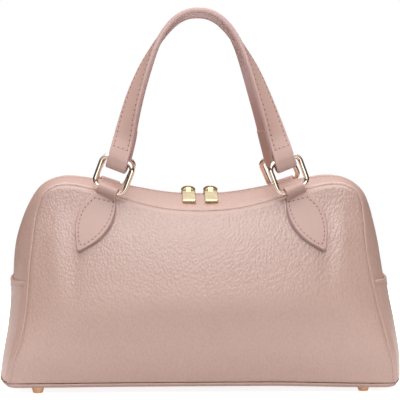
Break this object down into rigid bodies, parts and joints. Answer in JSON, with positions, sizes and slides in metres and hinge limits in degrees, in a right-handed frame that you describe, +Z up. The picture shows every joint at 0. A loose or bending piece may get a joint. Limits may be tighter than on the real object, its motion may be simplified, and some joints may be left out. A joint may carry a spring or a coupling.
{
  "type": "leather handbag",
  "caption": "Soft trapezoid leather handbag with a zipped top, strap handles on square metal rings, leaf tabs, slip pockets on the ends and metal feet.",
  "frame": {"origin": "on the floor under the middle of the bag", "axes": "+X to the right seen from the front, +Y to the back, +Z up"},
  "size_m": [0.3434, 0.138, 0.3231],
  "materials": {
    "leather": "soft pebbled grain",
    "gold": "polished pale gold plate",
    "zip_tape": "woven tape"
  },
  "bodies": {
    "bag": {"base_panel": "leather", "front_panel": "leather", "back_panel": "leather", "top_strip_front": "leather", "top_strip_back": "leather", "handle_front": "leather", "handle_back": "leather", "gusset_left": "leather", "gusset_right": "leather", "pocket_left": "leather", "pocket_right": "leather", "tab_front_left": "leather", "tab_front_right": "leather", "tab_back_left": "leather", "tab_back_right": "leather", "ring_front_left": "gold", "ring_front_right": "gold", "ring_back_left": "gold", "ring_back_right": "gold", "foot_front_left": "gold", "foot_front_right": "gold", "foot_back_left": "gold", "foot_back_right": "gold", "zip_slider_left": "gold", "zip_slider_right": "gold", "zip_teeth": "gold", "zip_tape": "zip_tape"},
    "pull_left": {"zip_pull_left": "gold"},
    "pull_right": {"zip_pull_right": "gold"}
  },
  "joints": [
    {"name": "pull_left_swing", "type": "hinge", "parent": "bag", "child": "pull_left", "pos_m": [-0.0095, 0, 0.16765], "axis": [-1, 0, 0], "range_deg": [0, 154]},
    {"name": "pull_right_swing", "type": "hinge", "parent": "bag", "child": "pull_right", "pos_m": [0.0095, 0, 0.16765], "axis": [-1, 0, 0], "range_deg": [0, 154]}
  ]
}
